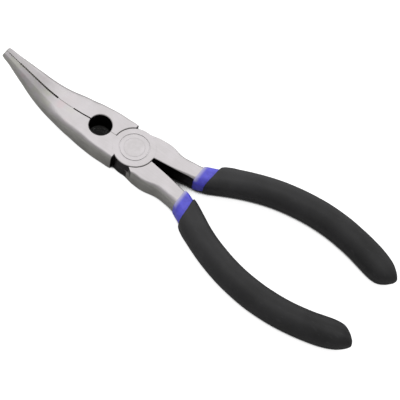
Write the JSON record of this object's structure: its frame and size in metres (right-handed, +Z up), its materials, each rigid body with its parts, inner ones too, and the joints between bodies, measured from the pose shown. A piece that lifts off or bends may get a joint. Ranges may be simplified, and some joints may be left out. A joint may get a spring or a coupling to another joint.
{
  "type": "needle nose pliers",
  "caption": "Bent needle nose pliers with a round grip hole, serrated jaws, a flush pivot rivet and two-coat dipped handles that open about a lap joint.",
  "frame": {"origin": "under the middle of the tool's plan, at the height of the grips' lowest point", "axes": "+X from the handles to the nose, +Z up out of the joint's upper face, +Y towards the jaw of half_a"},
  "size_m": [0.2038, 0.0648, 0.0213],
  "materials": {
    "tool_steel": "satin ground faces, dark oxide in the recesses",
    "rivet_steel": "ground flush",
    "blue_vinyl": "semi-gloss dipped coat",
    "black_vinyl": "matte dipped coat"
  },
  "bodies": {
    "half_b": {"jaw_half_b": "tool_steel", "pivot_rivet": "rivet_steel", "grip_b_undercoat": "blue_vinyl", "grip_b_overcoat": "black_vinyl"},
    "half_a": {"jaw_half_a": "tool_steel", "grip_a_undercoat": "blue_vinyl", "grip_a_overcoat": "black_vinyl"}
  },
  "joints": [
    {"name": "pivot", "type": "hinge", "parent": "half_b", "child": "half_a", "pos_m": [0.02845, 0, 0.0059], "axis": [0, 0, 1], "range_deg": [0, 42]}
  ]
}
